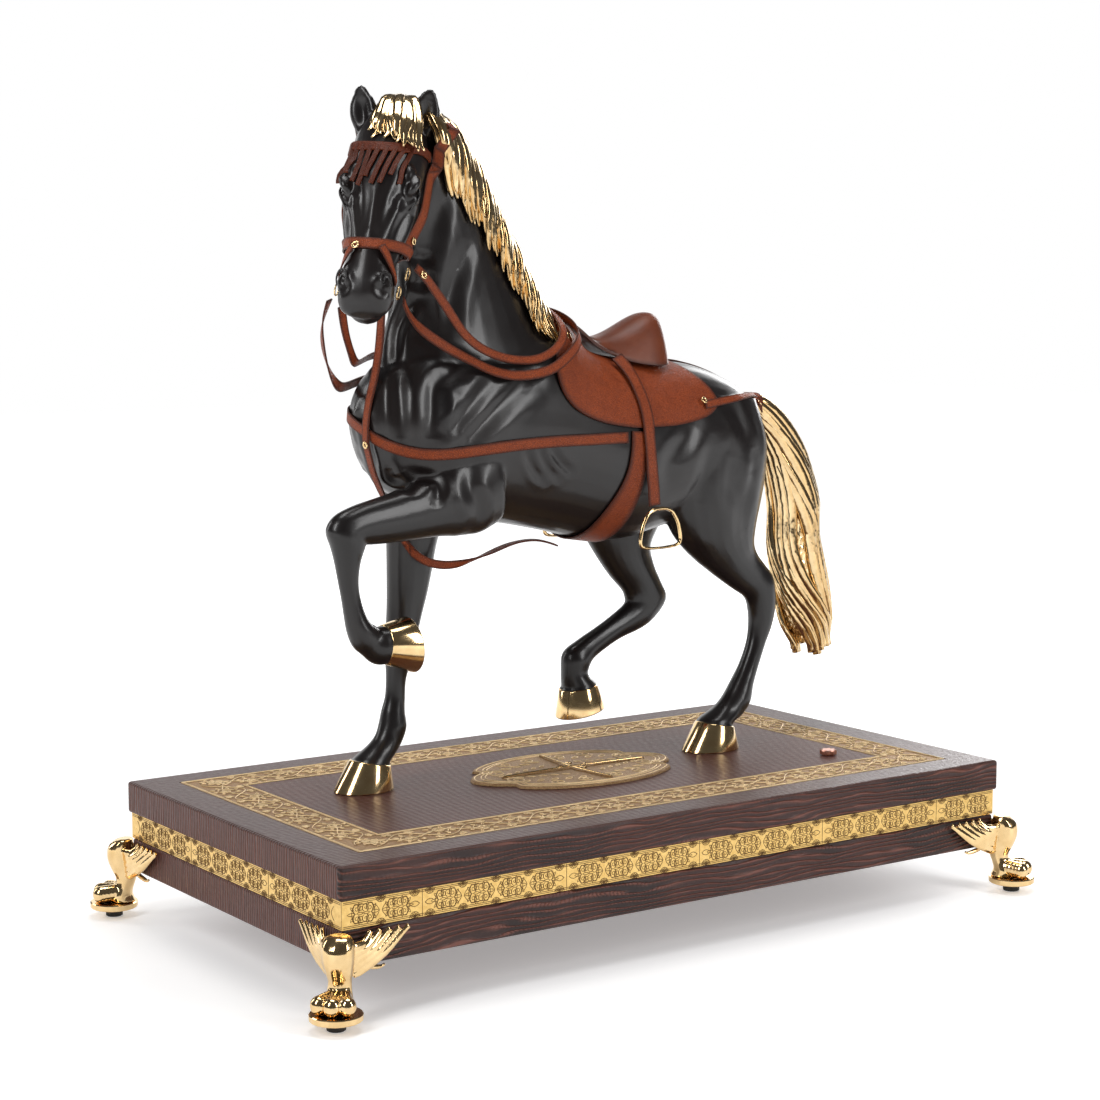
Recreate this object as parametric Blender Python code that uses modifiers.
"""A trotting horse in black with gilt mane, tail and hooves, in leather tack, on a leather-covered plinth."""
import math

import bmesh
import bpy
from mathutils import Matrix, Vector
from mathutils.bvhtree import BVHTree

# Driving dimensions, in metres.
PLINTH_LENGTH = 0.550
PLINTH_WIDTH = 0.296
SLAB_THICKNESS = 0.0218
BAND_HEIGHT = 0.0179
BASE_THICKNESS = 0.0236
FOOT_HEIGHT = 0.0327
HORSE_HEIGHT = 0.467
HORSE_YAW = math.radians(4.3)
HORSE_SHIFT = 0.0145

PLINTH_TOP = FOOT_HEIGHT + BASE_THICKNESS + BAND_HEIGHT + SLAB_THICKNESS
# The figure's outlines are written in millimetres of a horse 467 mm tall.
UNIT = HORSE_HEIGHT / 467

HORSE_PLACE = (
    Matrix.Translation((0, HORSE_SHIFT, PLINTH_TOP))
    @ Matrix.Rotation(HORSE_YAW, 4, "Z")
    @ Matrix.Scale(UNIT, 4)
)

for old in list(bpy.data.objects):
    bpy.data.objects.remove(old)
statue = bpy.data.collections.new("horse_statue")
bpy.context.scene.collection.children.link(statue)
cutters = bpy.data.collections.new("cutters")
bpy.context.scene.collection.children.link(cutters)


def material(name, colour, roughness, metallic=0.0):
    made = bpy.data.materials.new(name)
    made.use_nodes = True
    shader = made.node_tree.nodes["Principled BSDF"]
    shader.inputs["Base Color"].default_value = (*colour, 1)
    shader.inputs["Roughness"].default_value = roughness
    shader.inputs["Metallic"].default_value = metallic
    return made


BLACK = material("satin_black", (0.012, 0.011, 0.011), 0.38)
GOLD = material("gilding", (0.83, 0.56, 0.2), 0.12, 1.0)


def new_object(name, mesh, finish):
    made = bpy.data.objects.new(name, mesh)
    made.data.materials.append(finish)
    statue.objects.link(made)
    return made


def as_cutter(name, bm):
    mesh = bpy.data.meshes.new(name)
    bm.to_mesh(mesh)
    bm.free()
    made = bpy.data.objects.new(name, mesh)
    cutters.objects.link(made)
    made.hide_render = True
    made.display_type = "WIRE"
    return made


# Figure, from outline pairs.
def between(stations, steps):
    """Catmull-Rom stations, so that a few outline pairs give a smooth limb."""
    found = []
    last = len(stations) - 1
    for i in range(last):
        before = stations[max(i - 1, 0)]
        after = stations[min(i + 2, last)]
        for k in range(steps):
            t = k / steps
            found.append(tuple(
                b + 0.5 * t * (c - a + t * (2 * a - 5 * b + 4 * c - d + t * (3 * (b - c) + d - a)))
                for a, b, c, d in zip(before, stations[i], stations[i + 1], after)
            ))
    found.append(stations[-1])
    return found


def limb(bm, stations, place=Matrix(), steps=3, sides=16):
    """A closed loft of ovals. A station is the front point's x and z, the back point's x and z, y and half width."""
    rings = []
    for fx, fz, bx, bz, y, wide in between(stations, steps):
        front = Vector((fx, y, fz))
        back = Vector((bx, y, bz))
        middle = (front + back) / 2
        reach = (front - back) / 2
        rings.append([
            bm.verts.new(place @ (
                middle
                + reach * math.cos(2 * math.pi * k / sides)
                + Vector((0, wide * math.sin(2 * math.pi * k / sides), 0))
            ))
            for k in range(sides)
        ])
    for low, high in zip(rings, rings[1:]):
        for k in range(sides):
            bm.faces.new((low[k], low[k - 1], high[k - 1], high[k]))
    bm.faces.new(rings[0])
    bm.faces.new(rings[-1][::-1])


def blob(bm, centre, radii, turn=(0, 0, 0), place=Matrix()):
    """An ellipsoid of muscle or bone. The turn is in degrees about X, Y and Z."""
    angles = [math.radians(a) for a in turn]
    turned = Matrix.Rotation(angles[2], 4, "Z") @ Matrix.Rotation(angles[1], 4, "Y") @ Matrix.Rotation(angles[0], 4, "X")
    matrix = place @ Matrix.Translation(centre) @ turned @ Matrix.Diagonal((*radii, 1))
    bmesh.ops.create_icosphere(bm, subdivisions=3, radius=1, matrix=matrix)


TRUNK = [
    (-171, 262, -166, 234, 0, 14),
    (-161, 284, -156, 212, 0, 29),
    (-134, 304, -134, 198, 0, 41),
    (-100, 313, -100, 186, 0, 46),
    (-60, 318, -60, 180, 0, 47),
    (-20, 315, -20, 172, 0, 48),
    (15, 297, 15, 164, 0, 49.5),
    (50, 290, 50, 161, 0, 49),
    (85, 289, 80, 166, 0, 47),
    (115, 286, 112, 174, 0, 46),
    (145, 277, 142, 180, 0, 42),
    (170, 264, 165, 190, 0, 32),
    (185, 252, 180, 206, 0, 18),
]
NECK = [
    (4, 303, -154, 238, 0, 41),
    (-11, 307, -161, 262, 0, 37),
    (-24, 319, -156, 288, 0, 32),
    (-37, 338, -149, 310, -1, 28.5),
    (-52, 361, -144, 333, -2, 26),
    (-68, 386, -142, 356, -4, 24),
    (-84, 410, -145, 382, -5, 22),
    (-98, 431, -149, 406, -6, 20.5),
    (-113, 446, -153, 425, -8, 18),
    (-130, 452, -157, 437, -9, 15),
]
FORE_RIGHT = [
    (-136, 206, -72, 210, 22, 20),
    (-132, 188, -84, 188, 23, 17.5),
    (-131.5, 170, -92.5, 170, 24, 14.5),
    (-131, 147, -97, 147, 25, 13),
    (-131, 132, -101, 132, 25, 12.3),
    (-131.5, 118, -105.5, 118, 25, 11.5),
    (-132.5, 104, -109.5, 104, 25, 11),
    (-133.5, 95, -111, 94, 25, 11.2),
    (-133, 86, -114.5, 85, 25, 9),
    (-133, 75, -118.5, 74, 25, 6.8),
    (-134, 62, -119.5, 61, 25, 6.6),
    (-137, 52, -120, 51, 25, 8),
    (-139, 43, -119, 41, 25, 9.4),
    (-142, 36, -122.5, 31, 25, 9),
    (-148, 30, -128.5, 23, 25, 10),
    (-158, 23, -134, 18, 25, 12.5),
    (-161, 19.5, -134, 15, 25, 13),
]
FORE_LEFT = [
    (-92, 246, -76, 184, -26, 19),
    (-116, 232, -99, 176.5, -28, 17.5),
    (-140, 216, -128, 177, -28, 15),
    (-160, 210, -152, 176, -28.5, 13.5),
    (-178, 206, -172, 175.5, -29, 12),
    (-196, 202, -186, 175.5, -29, 11.2),
    (-211, 196, -189, 176, -29, 11),
    (-217, 187, -190, 173, -29, 11),
    (-213.5, 176, -191.5, 170, -29, 10),
    (-211, 166, -193.5, 163, -29, 8.2),
    (-208.5, 153, -194.5, 151, -29, 6.6),
    (-206, 141, -192.5, 139, -29, 6.5),
    (-204, 130, -188.5, 129, -29, 7.5),
    (-201.5, 119, -184.5, 124, -29, 9),
    (-197, 109, -182, 123, -29, 9.6),
    (-190, 103, -180, 121.5, -29, 9.4),
    (-184, 98, -178, 121, -29, 11),
    (-179, 96, -177, 121.5, -29, 12.3),
    (-174, 96, -172, 121, -29, 12.5),
]
HIND_LEFT = [
    (85, 262, 168, 262, -16, 24),
    (78, 235, 178, 232, -19, 26),
    (76, 208, 177, 208, -21, 25),
    (80, 184, 173, 188, -22, 22),
    (90, 163, 168, 168, -22, 18.5),
    (106, 147, 167, 153, -21.5, 15),
    (127, 132, 172, 143, -21, 12),
    (148, 119, 181, 134, -20.6, 10.3),
    (163, 110, 189, 124, -20.6, 10),
    (167.5, 100, 191, 104, -20.6, 9.6),
    (168, 88, 187.5, 88, -20.6, 8.4),
    (165.5, 75, 181.5, 75, -20.6, 7.2),
    (158.5, 60, 174.5, 59, -20.6, 7.4),
    (150.5, 48, 168.5, 45, -20.6, 8.8),
    (143, 38, 165, 32, -20.6, 10.4),
    (134, 31, 157, 23, -20.6, 10.6),
    (121, 24, 147, 19, -20.6, 13),
    (118, 20, 145, 15, -20.6, 13.3),
]
HIND_RIGHT = [
    (72, 262, 155, 262, 17, 24),
    (55, 232, 160, 235, 20, 26),
    (42, 205, 150, 208, 21, 25),
    (36, 182, 132, 188, 21, 22),
    (42, 163, 112, 170, 21, 18.5),
    (53, 146, 101, 152, 21, 14.5),
    (66, 130, 105, 137, 21, 12.3),
    (77, 119, 112, 124, 20.6, 10.5),
    (80, 113, 118, 109, 20.6, 10),
    (79.7, 108.5, 100, 92, 20.6, 9.4),
    (64.2, 99.6, 73, 83.4, 20.6, 7.8),
    (50.3, 92.9, 58, 77.1, 20.6, 7.8),
    (36, 86.5, 46.5, 71, 20.6, 8.6),
    (22, 78, 42, 66, 20.6, 10.3),
    (20, 63, 41, 60, 20.6, 9.7),
    (21.5, 51, 47, 55, 20.6, 12.8),
    (22, 47, 48, 50, 20.6, 13),
]
# The head has its own frame: x runs down the face, z out of the forehead, y to the side.
HEAD_SIZE = 0.975
POLL = Vector((-148.6, -9, 448.4))
HEAD_TURN = math.radians(46)
HEAD_DROP = math.radians(59)
HEAD_TILT = math.radians(-4.3)
HEAD = [
    (-14, 2, -10, -20, 0, 11),
    (0, 14, 0, -30, 0, 20),
    (22, 19.5, 18, -38, 0, 26),
    (44, 20, 42, -46, 0, 26),
    (64, 18, 62, -46, 0, 25.5),
    (84, 15.5, 84, -35, 0, 20.5),
    (103, 13.5, 103, -24, 0, 16.5),
    (120, 12, 121, -20, 0, 17.5),
    (133, 9, 134, -20, 0, 18),
    (142, 3, 142, -15, 0, 15),
    (145, -2, 146, -10, 0, 9),
]
EAR = [
    (-8, -6, -7, 6, 0, 6.5),
    (3, -5, 3, 4.5, 0, 8.6),
    (11, -4, 11, 3, 0, 9.6),
    (19, -3, 19, 2.2, 0, 8.2),
    (26, -1.8, 26, 1.4, 0, 4.8),
    (29, -0.8, 29, 0.8, 0, 2),
]
FORELOCK = [
    ((-16, 0, 8), (4, -13, 17), (24, -19, 18)),
    ((-16, 0, 8), (6, -8, 19), (27, -12, 21)),
    ((-16, 0, 8), (7, -2, 20), (29, -5, 23)),
    ((-16, 0, 8), (7, 4, 20), (29, 4, 23)),
    ((-16, 0, 8), (5, 9, 19), (27, 13, 21)),
    ((-16, 0, 8), (0, 14, 16), (26, 23, 15)),
]


def head_place():
    """The head's frame: it hangs from the poll, turned and tilted to the horse's left."""
    ahead = Vector((-math.cos(HEAD_TURN), -math.sin(HEAD_TURN), 0))
    down = ahead * math.cos(HEAD_DROP) - Vector((0, 0, math.sin(HEAD_DROP)))
    out = ahead * math.sin(HEAD_DROP) + Vector((0, 0, math.cos(HEAD_DROP)))
    side = out.cross(down)
    axes = Matrix((
        down * math.cos(HEAD_TILT) + side * math.sin(HEAD_TILT),
        side * math.cos(HEAD_TILT) - down * math.sin(HEAD_TILT),
        out,
    ))
    return Matrix.Translation(POLL) @ axes.transposed().to_4x4() @ Matrix.Scale(HEAD_SIZE, 4)


def head_form(bm, head):
    limb(bm, HEAD, head)
    for side in (-1, 1):
        blob(bm, (49, side * 21, 8), (14, 7, 8), (0, 12, side * 14), place=head)
        blob(bm, (60, side * 22, 0), (10, 4.5, 8), place=head)
        blob(bm, (124, side * 11.5, 5), (9, 6.5, 7), (0, -20, side * 15), place=head)
        blob(bm, (55, side * 14, -22), (24, 11, 22), place=head)
        lean = (
            Matrix.Translation((4, side * 18, -3))
            @ Matrix.Rotation(math.radians(-side * 12), 4, "Z")
            @ Matrix.Rotation(math.radians(-side * 4), 4, "X")
            @ Matrix.Rotation(math.radians(212), 4, "Y")
            @ Matrix.Rotation(math.radians(side * 20), 4, "X")
        )
        limb(bm, EAR, head @ lean, sides=12)
    blob(bm, (136, 0, -17), (9, 11, 6), place=head)


def strand(bm, points, thick, wide, place=Matrix(), steps=4, sides=8, tip=0.2):
    """A lock of hair: a flattened, tapering tube along a smooth curve."""
    path = [Vector(p) for p in between([tuple(p) for p in points], steps)]
    rings = []
    count = len(path) - 1
    for i, at in enumerate(path):
        ahead = (path[min(i + 1, count)] - path[max(i - 1, 0)]).normalized()
        across = ahead.cross(Vector((0.2, 1, 0.1))).normalized()
        other = ahead.cross(across)
        t = i / count
        full = max(tip, math.sin(math.pi * (0.18 + 0.82 * t)) ** 0.7)
        rings.append([
            bm.verts.new(place @ (
                at
                + across * wide * full * math.cos(2 * math.pi * k / sides)
                + other * thick * full * math.sin(2 * math.pi * k / sides)
            ))
            for k in range(sides)
        ])
    for low, high in zip(rings, rings[1:]):
        for k in range(sides):
            bm.faces.new((low[k - 1], low[k], high[k], high[k - 1]))
    bm.faces.new(rings[0][::-1])
    bm.faces.new(rings[-1])


# The crest from the poll to the withers. The mane's locks hang from it down both sides.
CREST = [
    (-128, -9, 458),
    (-109, -8, 454),
    (-95, -7, 440),
    (-79, -5, 416),
    (-61, -3, 385),
    (-41, -1, 352),
    (-26, 0, 328),
    (-16, 0, 314),
]
MANE_LOCKS = 22


def laid(tree, points, lift):
    """Points dropped on a surface and raised off it."""
    found = []
    for point in points:
        at, normal, _, _ = tree.find_nearest(Vector(point))
        found.append(at + normal * lift)
    return found


def mane(bm, neck):
    crest = [Vector(p) for p in between(CREST, 10)]
    for i in range(MANE_LOCKS):
        along = i / (MANE_LOCKS - 1)
        at = crest[round(along * 0.9 * (len(crest) - 1))]
        for side in (-1, 1):
            reach = (40 + 6 * math.sin(2.4 * i)) * (1 - 0.25 * along) * (1 if side < 0 else 0.6)
            route = laid(neck, [
                at + Vector((k * 8 - 2 + 2 * math.sin(i), side * (4 + 26 * k ** 0.7), -reach * k))
                for k in (0, 0.3, 0.6, 0.85, 1)
            ], 2.6 + 1.1 * math.cos(1.9 * i))
            strand(bm, route, 5.4, 3.8, tip=0.25)
    strand(bm, [p + Vector((-3, 0, -4)) for p in crest[::8]], 6, 7, tip=0.8)


# Centres of the tail with its half width, from the dock down to the cut end.
TAIL = [
    (184, 256, 9),
    (198, 247, 11),
    (214, 227, 14),
    (227, 200, 17),
    (234, 172, 19),
    (234, 148, 20),
    (239, 124, 21.5),
    (245, 102, 22),
    (250, 82, 20),
    (255, 64, 13),
]
TAIL_LOCKS = 9


def tail(bm):
    axis = between([(x, 0, z, r) for x, z, r in TAIL], 3)
    count = len(axis) - 1
    limb(bm, [(x - 0.6 * r, z - 0.2 * r, x + 0.6 * r, z + 0.2 * r, 1, 0.62 * r) for x, _, z, r in axis[1:-2:3]], steps=2)
    for lock in range(TAIL_LOCKS):
        start = 2 * math.pi * lock / TAIL_LOCKS
        last = count - (0, 4, 2)[lock % 3]
        path = []
        for i in range(0, last + 1, 2):
            x, y, z, r = axis[i]
            turn = start + 2.3 * i / count
            path.append((x + 0.66 * r * math.cos(turn), 1 + 0.66 * r * math.sin(turn), z + 0.2 * r * math.cos(turn)))
        strand(bm, path, 7.4, 7.4, steps=2, tip=0.35)


HOOVES = [
    [(-162, 21.5, -134, 16, 25, 13.2), (-175, 0, -132, 0, 25, 17.6)],
    [(118, 21.5, 146, 16, -20.6, 14), (104.5, 0, 151, 0, -20.6, 18)],
    [(20, 50, 47.5, 54, 20.6, 13.4), (17.5, 29, 54, 37, 20.6, 17)],
    [(-176, 97, -174.5, 121.5, -29, 12.8), (-151, 88.5, -155, 125.5, -29, 17)],
]


def horse_form():
    bm = bmesh.new()
    limb(bm, TRUNK, sides=24)
    limb(bm, NECK, sides=20)
    bmesh.ops.recalc_face_normals(bm, faces=bm.faces)
    neck = BVHTree.FromBMesh(bm)
    for leg in (FORE_RIGHT, FORE_LEFT, HIND_LEFT, HIND_RIGHT):
        limb(bm, leg)
    for hoof in HOOVES:
        limb(bm, hoof, steps=1, sides=24)
    head = head_place()
    head_form(bm, head)
    for lock in FORELOCK:
        strand(bm, lock, 5, 4, head)
    mane(bm, neck)
    tail(bm)
    return bm


def fused(name, bm, voxel, rounds, triangles, finish, softness=None):
    """One closed skin over overlapping forms: voxels, then smoothing, then as few triangles as asked."""
    mesh = bpy.data.meshes.new(name)
    bm.to_mesh(mesh)
    bm.free()
    rough = new_object(name + "_rough", mesh, finish)
    remesh = rough.modifiers.new("voxels", "REMESH")
    remesh.mode = "VOXEL"
    remesh.voxel_size = voxel
    skin = largest(baked(rough))
    smooth = skin.modifiers.new("smooth", "SMOOTH")
    smooth.factor = 0.5
    smooth.iterations = rounds
    if softness:
        group = skin.vertex_groups.new(name="soft")
        for v in skin.data.vertices:
            group.add([v.index], softness(v.co), "REPLACE")
        smooth.vertex_group = "soft"
    thin = skin.modifiers.new("fewer", "DECIMATE")
    thin.ratio = triangles / (2 * len(skin.data.polygons))
    done = baked(skin)
    done.name = name
    done.data.name = name
    return done


def largest(obj):
    """Only the biggest closed shell of a mesh, without crumbs or inner bubbles."""
    bm = bmesh.new()
    bm.from_mesh(obj.data)
    left = set(bm.verts)
    shells = []
    while left:
        todo = [left.pop()]
        shell = list(todo)
        while todo:
            for edge in todo.pop().link_edges:
                for v in edge.verts:
                    if v in left:
                        left.remove(v)
                        todo.append(v)
                        shell.append(v)
        shells.append(shell)
    shells.sort(key=len)
    for shell in shells[:-1]:
        bmesh.ops.delete(bm, geom=shell, context="VERTS")
    bm.to_mesh(obj.data)
    bm.free()
    return obj


def baked(obj):
    """A new object whose mesh is the old one with its modifiers applied."""
    bpy.context.view_layer.update()
    graph = bpy.context.evaluated_depsgraph_get()
    mesh = bpy.data.meshes.new_from_object(obj.evaluated_get(graph))
    made = bpy.data.objects.new(obj.name, mesh)
    made.matrix_world = obj.matrix_world
    for owner in obj.users_collection:
        owner.objects.link(made)
    bpy.data.objects.remove(obj)
    return made


def leg_softness(point):
    """Full smoothing where trunk and limbs meet, little on lower legs, head and hair."""
    if point.z < 165 or point.x > 186:
        return 0.12
    if point.z < 195:
        return 0.12 + 0.88 * (point.z - 165) / 30
    if point.z > 318 or point.x < -165:
        return 0.12
    return 1.0


horse = fused("horse", horse_form(), 1.7, 12, 4100, BLACK, leg_softness)
horse.matrix_world = HORSE_PLACE


# Everything laid on the horse is measured against one growing body of pieces, in the figure's millimetres.
worn = bmesh.new()
worn.from_mesh(horse.data)
skin = BVHTree.FromBMesh(worn)
CLEAR = 0.7


def spaced(points, pitch, closed=False):
    """The same route with stations about a pitch apart. A station may carry a width after x, y and z."""
    ring = list(points) + [points[0]] if closed else list(points)
    fine = between([tuple(p) for p in ring], 12)
    lengths = [0]
    for a, b in zip(fine, fine[1:]):
        lengths.append(lengths[-1] + math.dist(a[:3], b[:3]))
    count = max(3, round(lengths[-1] / pitch))
    found = []
    i = 0
    for k in range(count + (0 if closed else 1)):
        want = lengths[-1] * k / count
        while i < len(fine) - 2 and lengths[i + 1] < want:
            i += 1
        t = (want - lengths[i]) / max(lengths[i + 1] - lengths[i], 1e-9)
        found.append(tuple(a + t * (b - a) for a, b in zip(fine[i], fine[i + 1])))
    return found


def height_over(tree, at, normal, reach=12):
    """How far a surface stands above a point, looking down the normal from a little outside."""
    hit, _, _, far = tree.ray_cast(at + normal * reach, -normal, 2 * reach)
    return -reach if hit is None else reach - far


def strip(route, wide, thick, pitch, hug=True, closed=False, facing=None, clear=CLEAR):
    """The body of a flat strap. A hugging one is dropped on the horse, others are only kept clear of it."""
    tree = BVHTree.FromBMesh(worn)
    stations = spaced(route, pitch, closed)
    widths = [s[3] if len(s) > 3 else wide for s in stations]
    line = [Vector(s[:3]) for s in stations]
    normals = []
    for i, at in enumerate(line):
        on, normal, _, _ = skin.find_nearest(at)
        if hug:
            line[i] = on
        normals.append(normal if facing is None else facing(at, normal))
    count = len(line)
    for _ in range(3):
        normals = [
            (normals[max(i - 1, 0)] + 2 * normals[i] + normals[min(i + 1, count - 1)]).normalized()
            for i in range(count)
        ]
    sides = []
    for i in range(count):
        a = line[i - 1] if closed else line[max(i - 1, 0)]
        b = line[(i + 1) % count] if closed else line[min(i + 1, count - 1)]
        ahead = (b - a).normalized()
        normals[i] = (normals[i] - ahead * normals[i].dot(ahead)).normalized()
        sides.append(ahead.cross(normals[i]))
    low = 0 if not hug else -4
    heights = [[low, low] for _ in line]
    for i in range(count if closed else count - 1):
        j = (i + 1) % count
        for t in [k / 8 for k in range(9)]:
            at = line[i].lerp(line[j], t)
            normal = normals[i].lerp(normals[j], t).normalized()
            side = sides[i].lerp(sides[j], t).normalized()
            half = (widths[i] * (1 - t) + widths[j] * t) / 2
            for k in (-1.1, -0.75, -0.4, 0, 0.4, 0.75, 1.1):
                need = height_over(tree, at + side * half * k, normal) + clear
                for end, near in ((i, t < 1), (j, t > 0)):
                    if near and k <= 0:
                        heights[end][0] = max(heights[end][0], need)
                    if near and k >= 0:
                        heights[end][1] = max(heights[end][1], need)
    bm = bmesh.new()
    rings = []
    for at, normal, side, (left, right), width in zip(line, normals, sides, heights, widths):
        half = side * (width / 2)
        rings.append([
            bm.verts.new(at - half + normal * left),
            bm.verts.new(at + half + normal * right),
            bm.verts.new(at + half + normal * (right + thick)),
            bm.verts.new(at - half + normal * (left + thick)),
        ])
    pairs = list(zip(rings, rings[1:])) + ([(rings[-1], rings[0])] if closed else [])
    for a, b in pairs:
        for k in range(4):
            bm.faces.new((a[k - 1], a[k], b[k], b[k - 1]))
    if not closed:
        bm.faces.new(rings[0][::-1])
        bm.faces.new(rings[-1])
    bmesh.ops.recalc_face_normals(bm, faces=bm.faces)
    return bm


def strap(name, route, wide=8, thick=1.2, pitch=7, hug=True, closed=False, facing=None):
    return wear(name, strip(route, wide, thick, pitch, hug, closed, facing), TAN)


def wear(name, bm, finish):
    """Finish a piece that is written in the figure's millimetres and remember it for the next ones."""
    bmesh.ops.recalc_face_normals(bm, faces=bm.faces)
    if bm.calc_volume(signed=True) < 0:
        bmesh.ops.reverse_faces(bm, faces=bm.faces)
    mesh = bpy.data.meshes.new(name)
    bm.to_mesh(mesh)
    bm.free()
    worn.from_mesh(mesh)
    made = new_object(name, mesh, finish)
    made.matrix_world = HORSE_PLACE
    return made


def ring(name, centre, axis, radius, wire):
    """A closed ring of round wire."""
    bpy.ops.mesh.primitive_torus_add(major_segments=12, minor_segments=5, major_radius=radius, minor_radius=wire)
    made = bpy.context.object
    bm = bmesh.new()
    bm.from_mesh(made.data)
    bpy.data.objects.remove(made)
    bm.transform(Matrix.Translation(centre) @ Vector(axis).to_track_quat("Z", "Y").to_matrix().to_4x4())
    return wear(name, bm, GOLD)


TAN = material("tan_leather", (0.24, 0.07, 0.03), 0.5)
SEAT = material("seat_leather", (0.12, 0.035, 0.016), 0.4)


def mirrored(points):
    return [(p[0], -p[1], *p[2:]) for p in points]


# The flap's front and rear edges for each height angle above the horse's side.
FLAP = [
    (5, 28, 66),
    (8, 8, 88),
    (12, -7, 101),
    (18, -20, 110),
    (25, -30, 114),
    (38, -38, 112),
    (52, -39, 105),
    (66, -28, 98),
    (78, -12, 93),
    (90, -5, 91),
]
FLAP_COLUMNS = 9
FLAP_THICK = 1.4


def saddle_flaps():
    """One skirt of leather dropped over the back, ray by ray."""
    rows = [(e, a, b, -1) for e, a, b in FLAP] + [(e, a, b, 1) for e, a, b in FLAP[-2::-1]]
    bm = bmesh.new()
    feet_at = []
    outs = []
    for e, x0, x1, side in rows:
        angle = math.radians(e)
        out = Vector((0, side * math.cos(angle), math.sin(angle)))
        row = []
        for k in range(FLAP_COLUMNS + 1):
            x = x0 + (x1 - x0) * k / FLAP_COLUMNS
            hit, _, _, _ = skin.ray_cast(Vector((x, 0, 240)) + out * 90, -out)
            row.append(hit)
        feet_at.append(row)
        outs.append(out)
    count = FLAP_COLUMNS
    lift = [[CLEAR] * (count + 1) for _ in rows]
    for r in range(len(rows) - 1):
        out = (outs[r] + outs[r + 1]).normalized()
        for k in range(count):
            corners = ((r, k), (r, k + 1), (r + 1, k), (r + 1, k + 1))
            for u in (0, 0.25, 0.5, 0.75, 1):
                for v in (0, 0.25, 0.5, 0.75, 1):
                    a = feet_at[r][k].lerp(feet_at[r][k + 1], u)
                    b = feet_at[r + 1][k].lerp(feet_at[r + 1][k + 1], u)
                    need = height_over(skin, a.lerp(b, v), out) + CLEAR
                    for i, j in corners:
                        lift[i][j] = max(lift[i][j], need)
    under = [
        [bm.verts.new(at + outs[r] * lift[r][k]) for k, at in enumerate(row)]
        for r, row in enumerate(feet_at)
    ]
    over = [
        [bm.verts.new(at + outs[r] * (lift[r][k] + FLAP_THICK)) for k, at in enumerate(row)]
        for r, row in enumerate(feet_at)
    ]
    for r in range(len(rows) - 1):
        for k in range(count):
            bm.faces.new((under[r][k], under[r][k + 1], under[r + 1][k + 1], under[r + 1][k]))
            bm.faces.new((over[r][k + 1], over[r][k], over[r + 1][k], over[r + 1][k + 1]))
        for k in (0, count):
            bm.faces.new((under[r][k], under[r + 1][k], over[r + 1][k], over[r][k]))
    for r in (0, len(rows) - 1):
        for k in range(count):
            bm.faces.new((under[r][k], over[r][k], over[r][k + 1], under[r][k + 1]))
    return wear("saddle_flaps", bm, TAN)


# Seat stations: x, height of the top, half width.
SEAT_STATIONS = [
    (-9, 313, 6),
    (-5, 313.5, 11),
    (5, 309, 14),
    (20, 306, 16),
    (36, 307.5, 21),
    (52, 313.5, 26),
    (66, 320.5, 29),
    (77, 324.5, 27),
    (83, 323, 22),
    (86, 319, 15),
]


SEAT_DROOP = 6


def saddle_seat():
    """A dished pad between pommel and cantle. Its underside is dropped on the flaps."""
    tree = BVHTree.FromBMesh(worn)
    bm = bmesh.new()
    rings = []
    across = 8
    for x, top, half in SEAT_STATIONS:
        low = []
        for k in range(across + 1):
            s = -1 + 2 * k / across
            tops = [
                tree.ray_cast(Vector((x + dx, s * half + dy, 400)), Vector((0, 0, -1)))[0].z
                for dx in (-7, -3.5, 0, 3.5, 7)
                for dy in (-3, 0, 3)
            ]
            low.append(Vector((x, s * half, max(tops) + 0.7)))
        spine = max(p.z for p in low)
        for k, p in enumerate(low):
            p.z = max(p.z, spine - SEAT_DROOP * (-1 + 2 * k / across) ** 2)
        crown = spine + 2.5
        high = []
        for k in range(across + 1):
            s = -1 + 2 * k / across
            edge = low[k].z + 1.6
            want = max(crown, top) - (max(crown, top) - low[0].z - 2.5) * abs(s) ** 3.2
            high.append(Vector((x, s * half, max(edge, want))))
        rings.append([bm.verts.new(p) for p in low + high[::-1]])
    count = len(rings[0])
    for a, b in zip(rings, rings[1:]):
        for k in range(count):
            bm.faces.new((a[k - 1], a[k], b[k], b[k - 1]))
    bm.faces.new(rings[0][::-1])
    bm.faces.new(rings[-1])
    return wear("saddle_seat", bm, SEAT)


GIRTH_SIDE = [
    (31, -49, 242, 14),
    (29, -48, 216, 16),
    (25, -44, 197, 21),
    (21, -36, 183, 25),
    (18, -22, 171, 26),
    (17, -7, 165, 26),
]
girth = strap("girth", GIRTH_SIDE + mirrored(GIRTH_SIDE)[::-1], pitch=9)
saddle_flaps()
saddle_seat()

STIRRUP_LEATHER = [
    (31, -24, 293),
    (35, -32, 284),
    (37, -40, 270),
    (38.5, -46, 256),
    (38.5, -50, 239),
    (39.5, -52, 218),
    (41, -52.5, 203),
    (42, -52.5, 189.5),
]
IRON = [
    (-6, 0), (6, 0), (12, -3), (17, -11), (19, -21), (18.7, -28),
    (-18.7, -28), (-19, -21), (-17, -11), (-12, -3),
]
WIRE = 1.5


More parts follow.
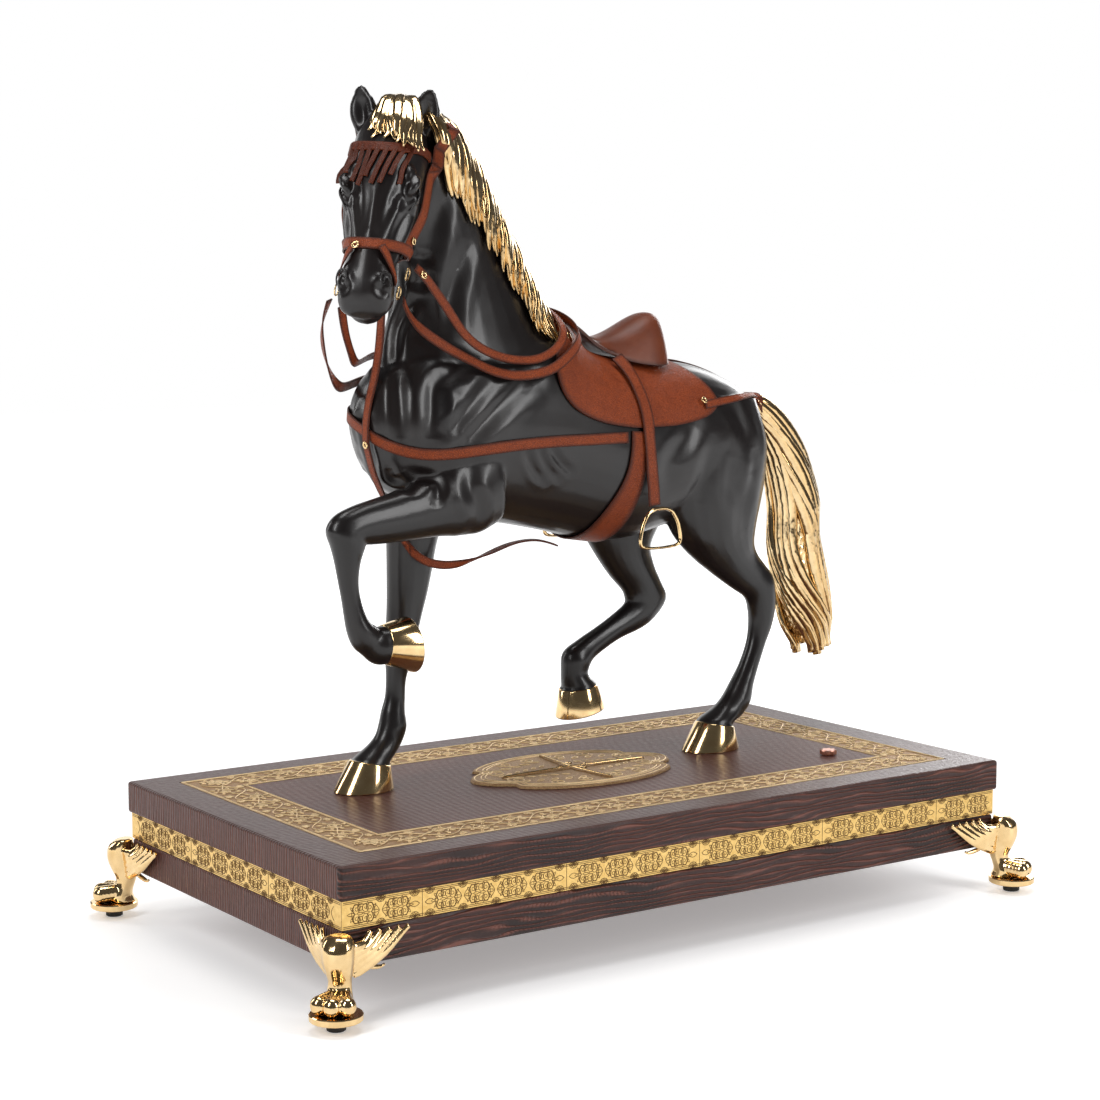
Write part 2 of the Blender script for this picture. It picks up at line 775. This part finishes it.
def iron(name, side):
    """A stirrup of round wire: straight eye bar, bowed sides, flat tread."""
    curve = bpy.data.curves.new(name, "CURVE")
    curve.dimensions = "3D"
    curve.bevel_depth = WIRE
    curve.bevel_resolution = 1
    spline = curve.splines.new("POLY")
    spline.points.add(len(IRON) - 1)
    for point, (x, z) in zip(spline.points, IRON):
        point.co = (x, 0, z, 1)
    spline.use_cyclic_u = True
    wire = bpy.data.objects.new(name, curve)
    graph = bpy.context.evaluated_depsgraph_get()
    statue.objects.link(wire)
    mesh = bpy.data.meshes.new_from_object(wire.evaluated_get(graph))
    bpy.data.objects.remove(wire)
    bm = bmesh.new()
    bm.from_mesh(mesh)
    bm.transform(Matrix.Translation((47.5, side * 53.4, 187.2)))
    return wear(name, bm, GOLD)


for side, label in ((-1, "near"), (1, "far")):
    turn = [(x, -side * y, *rest) for x, y, *rest in STIRRUP_LEATHER]
    strap(
        f"stirrup_leather_{label}", turn, wide=10.5, hug=False, pitch=9,
        facing=lambda at, normal, side=side: Vector((0, side, 0.25)),
    )
    iron(f"stirrup_iron_{label}", side)

# Bridle routes are written in the head's frame for the near side.
HEAD_PLACE = head_place()
CHEEK = [
    (-20, 0, -1),
    (-18, 12, -2),
    (-10, 22, -9),
    (6, 29, -15),
    (36, 30, -15),
    (60, 28, -16),
    (80, 24, -15),
    (97, 19, -11),
]
NOSEBAND = [(103, 0, 17), (101, 12, 12), (96, 19, 0), (92, 20, -12), (88, 16, -24), (85, 0, -32)]
BROWBAND = [(22, -30, -6), (25, -26, 8), (31, -13, 18), (33, 0, 21), (31, 13, 18), (25, 26, 8), (22, 30, -6)]
DROP = [(104, 10, 16), (111, 16, 10), (117, 20, 2), (120, 21, -6)]


def on_head(points):
    return [tuple(HEAD_PLACE @ Vector(p[:3])) for p in points]


def cheek_facing(at, normal):
    """The near cheek strap is turned out towards the front, the rest lies flat."""
    spot = HEAD_PLACE.inverted() @ at
    if spot.x > 14 and spot.y > 0:
        return (HEAD_PLACE.to_3x3() @ Vector((0, 0.62, 0.78))).normalized()
    return normal


strap("headstall", on_head(mirrored(CHEEK)[::-1] + CHEEK[1:]), pitch=8, thick=1.1, facing=cheek_facing)
strap("noseband", on_head(mirrored(NOSEBAND)[::-1][:-1] + NOSEBAND[:-1]), wide=7.5, pitch=7, thick=1.1, closed=True)
for side, label in ((1, "near"), (-1, "far")):
    strap(f"drop_strap_{label}", on_head([(x, side * y, z) for x, y, z in DROP]), wide=6, pitch=7, thick=1.0)

# The browband and its suede fringe are cut from one piece, all the strips combed the same way.
FRINGE = 8
FACE_OUT = (HEAD_PLACE.to_3x3() @ Vector((0, 0, 1))).normalized()


def browband():
    """The band with the strips of its fringe, grown into one skin."""
    bm = strip(on_head(BROWBAND), 6, 1.2, 8, clear=1.2)
    tree = BVHTree.FromBMesh(bm)
    for i in range(FRINGE):
        y = -21 + 36 * i / (FRINGE - 1)
        top = 18 - 0.022 * y * y
        start = 33 - 0.018 * y * y
        long = 26 + 4 * math.sin(2 + 2.2 * i)
        route = on_head([(start, y + 0.8, top), (start + long * 0.5, y - 3, top), (start + long, y - 6, top)])
        body = strip(route, 3.2, 1.1, 9, hug=False, facing=lambda at, normal: FACE_OUT, clear=1.1)
        body.verts.ensure_lookup_table()
        root = body.verts[:4]
        middle = sum((v.co for v in root), Vector()) / 4
        at, normal, _, _ = tree.find_nearest(middle)
        for v in root:
            v.co += at - normal * 0.5 - middle
        mesh = bpy.data.meshes.new("fringe")
        body.to_mesh(mesh)
        body.free()
        bm.from_mesh(mesh)
        bpy.data.meshes.remove(mesh)
    whole = fused("browband", bm, 0.35, 1, 700, TAN)
    bm = bmesh.new()
    bm.from_mesh(whole.data)
    bpy.data.objects.remove(whole)
    return wear("browband", bm, TAN)


browband()

# Bit rings hang beside the corners of the mouth.
RING_AXIS = HEAD_PLACE.to_3x3() @ Vector((0.15, 1, 0))
for label, spot in {"near_upper": (105, 22.5, -18), "near_lower": (125, 20.5, -9), "far": (125, -20.5, -9)}.items():
    ring(f"bit_ring_{label}", HEAD_PLACE @ Vector(spot), RING_AXIS, 4.2, 0.7)

REIN = [
    (-174, -54, 332),
    (-168, -50, 325),
    (-159, -46, 318),
    (-144, -42, 310),
    (-126, -40, 301),
    (-108, -40, 293),
    (-92, -42, 286),
    (-77, -46, 283),
    (-60, -48, 284),
    (-46, -48, 287),
    (-32, -45, 294),
    (-18, -40, 303),
    (-9, -30, 312),
    (-9, -16, 320),
    (-15, -2, 325),
    (-25, 12, 321),
    (-38, 28, 308),
    (-56, 40, 294),
    (-84, 44, 284),
    (-112, 40, 280),
    (-142, 33, 280),
    (-164, 24, 276),
    (-180, 11, 277),
    (-193, 2, 288),
    (-203, -6, 304),
    (-209, -15, 320),
    (-209, -23, 334),
]
strap("rein_lower", on_head([(128, 23, -13)]) + REIN, wide=7, pitch=10, hug=False)

REIN_UPPER = [
    (-158, -51, 353),
    (-152, -49, 347),
    (-139, -45, 336),
    (-127, -42, 324),
    (-116, -40, 312),
    (-104, -40, 303),
    (-94, -42, 298),
    (-80, -44, 294),
    (-60, -44, 293),
    (-44, -42, 297),
    (-30, -38, 305),
    (-23, -29, 316),
    (-23, -14, 327),
    (-30, 0, 335),
    (-42, 14, 332),
    (-56, 28, 314),
    (-84, 36, 298),
    (-112, 34, 298),
    (-138, 30, 296),
    (-156, 20, 292),
    (-170, 6, 292),
    (-180, -4, 300),
    (-190, -12, 314),
    (-198, -20, 330),
]
strap("rein_upper", on_head([(100, 27, -17)]) + REIN_UPPER, wide=6, pitch=10, hug=False)

COLLAR = [
    (20, -49, 238),
    (-5, -48, 238),
    (-39, -47, 238),
    (-73, -46, 237),
    (-105, -44, 235),
    (-134, -38, 233),
    (-152, -30, 235),
    (-162, -20, 240),
    (-168, -8, 246),
    (-169, 4, 252),
    (-164, 20, 258),
    (-152, 32, 260),
    (-134, 39, 259),
    (-105, 44, 256),
    (-73, 46, 252),
    (-39, 47, 247),
    (-5, 48, 243),
    (20, 49, 240),
]
strap("breast_collar", COLLAR, wide=8, pitch=11)

MARTINGALE = [
    (-165, -25, 348),
    (-166, -20, 330),
    (-165, -14, 300),
    (-168, -9, 270),
    (-170, -8, 247),
    (-168, -7, 228),
    (-160, -5, 212),
    (-146, -2, 190),
    (-135, 0, 172),
    (-122, 0, 159),
    (-106, 0, 154),
    (-88, 0, 154),
    (-66, 0, 159),
    (-44, 0, 165),
    (-22, 0, 166),
    (-4, 0, 161),
]
strap("martingale", MARTINGALE, wide=6, pitch=10, hug=False)

CRUPPER = [(98, -44, 258), (111, -42, 259), (133, -40, 261), (153, -33, 264), (168, -24, 264)]
for side, label in ((-1, "near"), (1, "far")):
    strap(f"crupper_{label}", [(x, -side * y, z) for x, y, z in CRUPPER], wide=6, pitch=10)
strap("crupper_top", [(96, 4, 292), (113, 4, 289), (135, 3, 281), (155, 2, 272), (170, 1, 264)], wide=6, pitch=10)
strap("crupper_dock", [(178, -17, 250), (180, -12, 258), (182, 0, 263), (180, 12, 258), (178, 17, 250)], wide=13, pitch=6)


def eyelet(name, near, loose=False, radius=2.6):
    """A turned metal ring that lies on the leather, also where a loose strap stands off the horse."""
    tree = BVHTree.FromBMesh(worn)
    on, normal, _, _ = (tree if loose else skin).find_nearest(Vector(near))
    place = Matrix.Translation(on) @ normal.to_track_quat("Z", "Y").to_matrix().to_4x4()
    spots = [place @ Vector((r * math.cos(a), r * math.sin(a), 0)) for r in (0, 1.2, 2.8) for a in range(7)]
    lift = max(height_over(tree, spot, normal, 8) for spot in spots) + 0.4
    bm = bmesh.new()
    bmesh.ops.create_circle(bm, segments=10, radius=radius)
    bmesh.ops.create_circle(bm, segments=10, radius=radius * 0.42)
    bmesh.ops.bridge_loops(bm, edges=bm.edges[:])
    raised = bmesh.ops.extrude_face_region(bm, geom=bm.faces[:])["geom"]
    bmesh.ops.translate(bm, vec=(0, 0, 0.7), verts=[v for v in raised if isinstance(v, bmesh.types.BMVert)])
    bm.transform(place @ Matrix.Translation((0, 0, lift)))
    return wear(name, bm, GOLD)


EYELETS = {
    "noseband": Vector((-202, -44, 367)),
    "cheek": HEAD_PLACE @ Vector((84, 27, -11)),
    "flap": Vector((97, -42, 260)),
    "dock": Vector((180, -16, 256)),
    "rein": Vector((-156, -53, 350)),
    "collar": Vector((-168, -9, 240)),
}
for label, near in EYELETS.items():
    eyelet(f"eyelet_{label}", near, loose=label in ("cheek", "rein"))


# Stand.
LEATHER = material("croc_leather", (0.07, 0.028, 0.02), 0.45)
RUBBER = material("rubber", (0.02, 0.02, 0.02), 0.8)
INSET = 0.0022
EDGE = 0.002
BORDER_MARGIN = (0.028, 0.025)
BORDER_OUTER = (PLINTH_LENGTH - 2 * BORDER_MARGIN[0], PLINTH_WIDTH - 2 * BORDER_MARGIN[1])
BORDER_WIDTH = 0.0350
BORDER_DEPTH = 0.0016
GAP = 0.0003


def box(name, size, base, finish, bevel=0.0, segments=2):
    """A box whose base centre is given, with rounded edges."""
    bpy.ops.mesh.primitive_cube_add(size=1, location=(base[0], base[1], base[2] + size[2] / 2))
    made = bpy.context.object
    for owner in list(made.users_collection):
        owner.objects.unlink(made)
    statue.objects.link(made)
    made.name = name
    made.data.name = name
    made.data.transform(Matrix.Diagonal((*size, 1)))
    made.data.materials.append(finish)
    if bevel:
        round_edges = made.modifiers.new("edges", "BEVEL")
        round_edges.width = bevel
        round_edges.segments = segments
    return made


def plinth():
    base_z = FOOT_HEIGHT
    band_z = base_z + BASE_THICKNESS
    top_z = band_z + BAND_HEIGHT
    inner = (PLINTH_LENGTH - 2 * INSET, PLINTH_WIDTH - 2 * INSET)
    box("plinth_base", (*inner, BASE_THICKNESS - GAP), (0, 0, base_z), LEATHER, EDGE)
    box("plinth_core", (inner[0] - 0.008, inner[1] - 0.008, BAND_HEIGHT - GAP), (0, 0, band_z), LEATHER)
    slab = box("plinth_top", (PLINTH_LENGTH, PLINTH_WIDTH, SLAB_THICKNESS), (0, 0, top_z), LEATHER, EDGE)
    groove = border_frame("border_cutter", GAP, 0.01)
    bpy.context.scene.collection.objects.unlink(groove)
    cutters.objects.link(groove)
    groove.hide_render = True
    groove.display_type = "WIRE"
    cut = slab.modifiers.new("border_groove", "BOOLEAN")
    cut.operation = "DIFFERENCE"
    cut.solver = "EXACT"
    cut.object = groove
    for axis, sign, label in ((0, -1, "near"), (0, 1, "far"), (1, -1, "front"), (1, 1, "rear")):
        band_strip(axis, sign, label, band_z, inner)
        border_strip(axis, sign, label)


def border_frame(name, grow, high):
    """A square ring that lies in the top, as one cutter."""
    x = BORDER_OUTER[0] / 2 + grow
    y = BORDER_OUTER[1] / 2 + grow
    wide = BORDER_WIDTH + 2 * grow
    bm = bmesh.new()
    rows = []
    for z in (PLINTH_TOP - BORDER_DEPTH, PLINTH_TOP - BORDER_DEPTH + high):
        for dx in (0, wide):
            rows.append([bm.verts.new((sx * (x - dx), sy * (y - dx), z)) for sx, sy in ((-1, -1), (1, -1), (1, 1), (-1, 1))])
    for k in range(4):
        bm.faces.new((rows[0][k - 1], rows[0][k], rows[1][k], rows[1][k - 1]))
        bm.faces.new((rows[2][k], rows[2][k - 1], rows[3][k - 1], rows[3][k]))
        bm.faces.new((rows[0][k], rows[0][k - 1], rows[2][k - 1], rows[2][k]))
        bm.faces.new((rows[1][k - 1], rows[1][k], rows[3][k], rows[3][k - 1]))
    bmesh.ops.recalc_face_normals(bm, faces=bm.faces)
    mesh = bpy.data.meshes.new(name)
    bm.to_mesh(mesh)
    bm.free()
    made = bpy.data.objects.new(name, mesh)
    bpy.context.scene.collection.objects.link(made)
    return made


def prism(name, outline, low, high, finish):
    """An upright prism over a plan outline given counter-clockwise."""
    bm = bmesh.new()
    bottom = [bm.verts.new((x, y, low)) for x, y in outline]
    top = [bm.verts.new((x, y, high)) for x, y in outline]
    bm.faces.new(bottom[::-1])
    bm.faces.new(top)
    for k in range(len(outline)):
        bm.faces.new((bottom[k - 1], bottom[k], top[k], top[k - 1]))
    mesh = bpy.data.meshes.new(name)
    bm.to_mesh(mesh)
    bm.free()
    return new_object(name, mesh, finish)


def border_strip(axis, sign, label):
    """One mitred strip of the gilt border: long ones lie along X."""
    along = BORDER_OUTER[axis] / 2 - GAP / 2
    out = BORDER_OUTER[1 - axis] / 2
    plan = [(-along, -out), (along, -out), (along - BORDER_WIDTH, BORDER_WIDTH - out), (BORDER_WIDTH - along, BORDER_WIDTH - out)]
    turn = {(0, -1): 0, (0, 1): 180, (1, 1): 90, (1, -1): -90}[(axis, sign)]
    matrix = Matrix.Rotation(math.radians(turn), 2)
    outline = [tuple(matrix @ Vector(p)) for p in plan]
    prism(f"border_{label}", outline, PLINTH_TOP - BORDER_DEPTH + GAP, PLINTH_TOP - 0.0003, GOLD)


BAND_THICK = 0.0016


def band_strip(axis, sign, label, low, inner):
    """One mitred strip of the engraved band around the waist of the plinth."""
    along = inner[axis] / 2 - GAP / 2
    out = inner[1 - axis] / 2
    plan = [(-along, -out), (along, -out), (along - BAND_THICK, BAND_THICK - out), (BAND_THICK - along, BAND_THICK - out)]
    turn = {(0, -1): 0, (0, 1): 180, (1, 1): 90, (1, -1): -90}[(axis, sign)]
    matrix = Matrix.Rotation(math.radians(turn), 2)
    outline = [tuple(matrix @ Vector(p)) for p in plan]
    prism(f"band_{label}", outline, low, low + BAND_HEIGHT - GAP, GOLD)


plinth()


def medallion():
    """An oval cartouche with a lipped point at each end and two sabres crossed over it."""
    half_x = 83.4
    half_y = 55.3
    outline = []
    for k in range(64):
        a = 2 * math.pi * k / 64
        c = math.cos(a)
        lip = 1 - 0.10 * math.exp(-((abs(abs(c) - 0.9) / 0.05) ** 2))
        point = 1 + 0.05 * math.exp(-((math.sin(a) / 0.22) ** 2)) * (1 if c else 0)
        outline.append((half_x * 0.955 * c * lip * point, half_y * math.sin(a) * lip))
    bm = bmesh.new()
    bottom = [bm.verts.new((x, y, 0)) for x, y in outline]
    top = [bm.verts.new((x * 0.985, y * 0.985, 1.6)) for x, y in outline]
    bm.faces.new(bottom[::-1])
    bm.faces.new(top)
    for k in range(64):
        bm.faces.new((bottom[k - 1], bottom[k], top[k], top[k - 1]))
    bmesh.ops.recalc_face_normals(bm, faces=bm.faces)
    mesh = bpy.data.meshes.new("medallion")
    bm.to_mesh(mesh)
    bm.free()
    plate = new_object("medallion", mesh, GOLD)
    plate.matrix_world = Matrix.Translation((0, 0, PLINTH_TOP + GAP)) @ Matrix.Scale(0.001, 4)
    for side in (-1, 1):
        bm = bmesh.new()
        sabre(bm, side)
        blade = as_cutter(f"sabre_{side + 2}", bm)
        blade.matrix_world = plate.matrix_world
        weld = plate.modifiers.new(blade.name, "BOOLEAN")
        weld.operation = "UNION"
        weld.solver = "EXACT"
        weld.object = blade


def sabre(bm, side):
    """A curved blade lying on the plate, one along it and one across it, swelling to hilts near the middle."""
    long = 62 if side < 0 else 45
    turn = Matrix.Rotation(0 if side < 0 else math.pi / 2, 4, "Z")
    rings = []
    for k in range(17):
        t = k / 16
        y = 3 * math.sin(math.pi * t) - 3
        half = 3.2 if 0.36 < t < 0.45 or 0.55 < t < 0.64 else 1.7
        half *= max(0.15, min(1, t / 0.12, (1 - t) / 0.12))
        rings.append([
            bm.verts.new(turn @ Vector((long * (2 * t - 1), y + h * half, z + 0.05 * (side + 1))))
            for h, z in ((-1, 0.8), (1, 0.8), (1, 2.2), (0, 2.9), (-1, 2.2))
        ])
    for a, b in zip(rings, rings[1:]):
        for k in range(5):
            bm.faces.new((a[k - 1], a[k], b[k], b[k - 1]))
    bm.faces.new(rings[0][::-1])
    bm.faces.new(rings[-1])
    bmesh.ops.recalc_face_normals(bm, faces=bm.faces)


medallion()


def stud():
    """A copper flower with eight petals, fixed near the rear edge."""
    outline = []
    for k in range(32):
        a = 2 * math.pi * k / 32
        r = 0.0058 + 0.0009 * math.cos(8 * a)
        outline.append((0.186 + r * math.cos(a), -0.0635 + r * math.sin(a)))
    made = prism("rosette_stud", outline, PLINTH_TOP + GAP, PLINTH_TOP + 0.0042, COPPER)
    edges = made.modifiers.new("edges", "BEVEL")
    edges.width = 0.0008
    edges.segments = 1


COPPER = material("copper", (0.75, 0.38, 0.28), 0.3, 1.0)
stud()

# Foot, in millimetres from the plinth's near front corner. X runs along the long side, Y along the short side.
DISC_RADIUS = 16.5
DISC_BASE = 6.2
DISC_TOP = 10.6
PAD_RADIUS = 6
DISC_OUT = 8
BASE_LOW = FOOT_HEIGHT * 1000
BAND_LOW = (FOOT_HEIGHT + BASE_THICKNESS) * 1000


def foot_form():
    bm = bmesh.new()
    out = Vector((-1, -1, 0)).normalized()
    across = Vector((1, -1, 0)).normalized()
    turn = Matrix((across, -out, Vector((0, 0, 1)))).transposed().to_4x4()
    shank = [
        (13, 11, -4, 11, 0, 9),
        (13, 15, -2, 16, 0, 9.5),
        (10, 21, -3, 21, 0, 8),
        (9, 27, -5, 27, 0, 7.3),
        (12, 33, -5, 33, 0, 8.5),
        (15, 41, -4, 41, 0, 10),
        (14.5, 49, -3, 49, 0, 10),
        (10, 54, -3, 54, 0, 8.5),
        (6, 55.6, -2, 55.6, 0, 5),
    ]
    limb(bm, shank, turn @ Matrix.Rotation(-math.pi / 2, 4, "Z"), sides=16)
    for k in (-1, 0, 1):
        toe = out * (20.5 - 2.8 * abs(k)) + across * (8.6 * k)
        for reach in (0.3, 0.45, 0.6, 0.75, 0.88, 1):
            blob(bm, (toe.x * reach, toe.y * reach, 18.2 - 1.6 * reach), (5.6, 5.6, 6))
    for side in (0, 1):
        flip = Matrix(((0, 1, 0), (1, 0, 0), (0, 0, 1))).to_4x4() if side else Matrix()
        for k in range(5):
            t = k / 4
            tip = Vector((20 + 27 * t, -1.5, BAND_LOW - 1.6 - 1.0 * t))
            root = Vector((3 + 3 * t, -5.5 + 1.5 * t, 47 - 17 * t))
            bend = root.lerp(tip, 0.5) + Vector((1.5, -0.6, -3.4 + 0.6 * k))
            strand(bm, (root, bend, tip), 2.3, 3.7, flip, steps=4, tip=0.5)
        hook = [(16, -1, 33.5), (22, 0, 31.6), (28, 0.5, 30.8), (31, 0.5, 32)]
        strand(bm, hook, 1.7, 1.7, flip, steps=3, tip=0.6)
    return bm


def feet():
    """One foot is made, then mirrored to the other corners with its disc and pad."""
    bm = foot_form()
    first = fused("foot_near_front", bm, 1.0, 3, 390, GOLD)
    clear_of_plinth(first)
    for sx, sy, label in ((-1, -1, "near_front"), (1, -1, "near_rear"), (-1, 1, "far_front"), (1, 1, "far_rear")):
        made = first
        if label != "near_front":
            mesh = first.data.copy()
            mesh.transform(Matrix.Diagonal((-sx, -sy, 1, 1)))
            if sx * sy < 0:
                mesh.flip_normals()
            made = bpy.data.objects.new(f"foot_{label}", mesh)
            mesh.name = made.name
            statue.objects.link(made)
        corner = Vector((sx * PLINTH_LENGTH / 2, sy * PLINTH_WIDTH / 2, 0))
        made.matrix_world = Matrix.Translation(corner) @ Matrix.Scale(0.001, 4)
        shift = DISC_OUT * 0.001
        centre = corner + Vector((sx * shift, sy * shift, 0))
        disc(f"disc_{label}", centre, DISC_RADIUS * 0.001, DISC_BASE * 0.001, DISC_TOP * 0.001, GOLD, 0.0006, 24)
        disc(f"pad_{label}", centre, PAD_RADIUS * 0.001, 0, DISC_BASE * 0.001 - GAP, RUBBER, 0.0005, 14)


def disc(name, centre, radius, low, high, finish, bevel, sides):
    bpy.ops.mesh.primitive_cylinder_add(
        vertices=sides, radius=radius, depth=high - low, location=(centre.x, centre.y, (low + high) / 2),
    )
    made = bpy.context.object
    for owner in list(made.users_collection):
        owner.objects.unlink(made)
    statue.objects.link(made)
    made.name = name
    made.data.name = name
    made.data.materials.append(finish)
    edges = made.modifiers.new("edges", "BEVEL")
    edges.width = bevel
    edges.segments = 1
    edges.limit_method = "ANGLE"


def clear_of_plinth(foot):
    """Cut the foot back where the plinth and its disc are, so that they only touch through a hair's gap."""
    gap = GAP * 1000
    inset = INSET * 1000 - gap
    for low, high, edge, size in (
        (BASE_LOW - gap, BAND_LOW + 40, inset, 90),
        (-20, DISC_TOP + gap, -60, 140),
    ):
        bm = bmesh.new()
        bmesh.ops.create_cube(bm, size=1)
        bm.transform(
            Matrix.Translation((edge + size / 2, edge + size / 2, (low + high) / 2))
            @ Matrix.Diagonal((size, size, high - low, 1))
        )
        cutter = as_cutter(f"foot_cutter_{round(high)}", bm)
        cut = foot.modifiers.new(cutter.name, "BOOLEAN")
        cut.operation = "DIFFERENCE"
        cut.solver = "EXACT"
        cut.object = cutter
        bpy.context.view_layer.update()
        graph = bpy.context.evaluated_depsgraph_get()
        mesh = bpy.data.meshes.new_from_object(foot.evaluated_get(graph))
        foot.modifiers.clear()
        foot.data = mesh
        mesh.name = foot.name


feet()
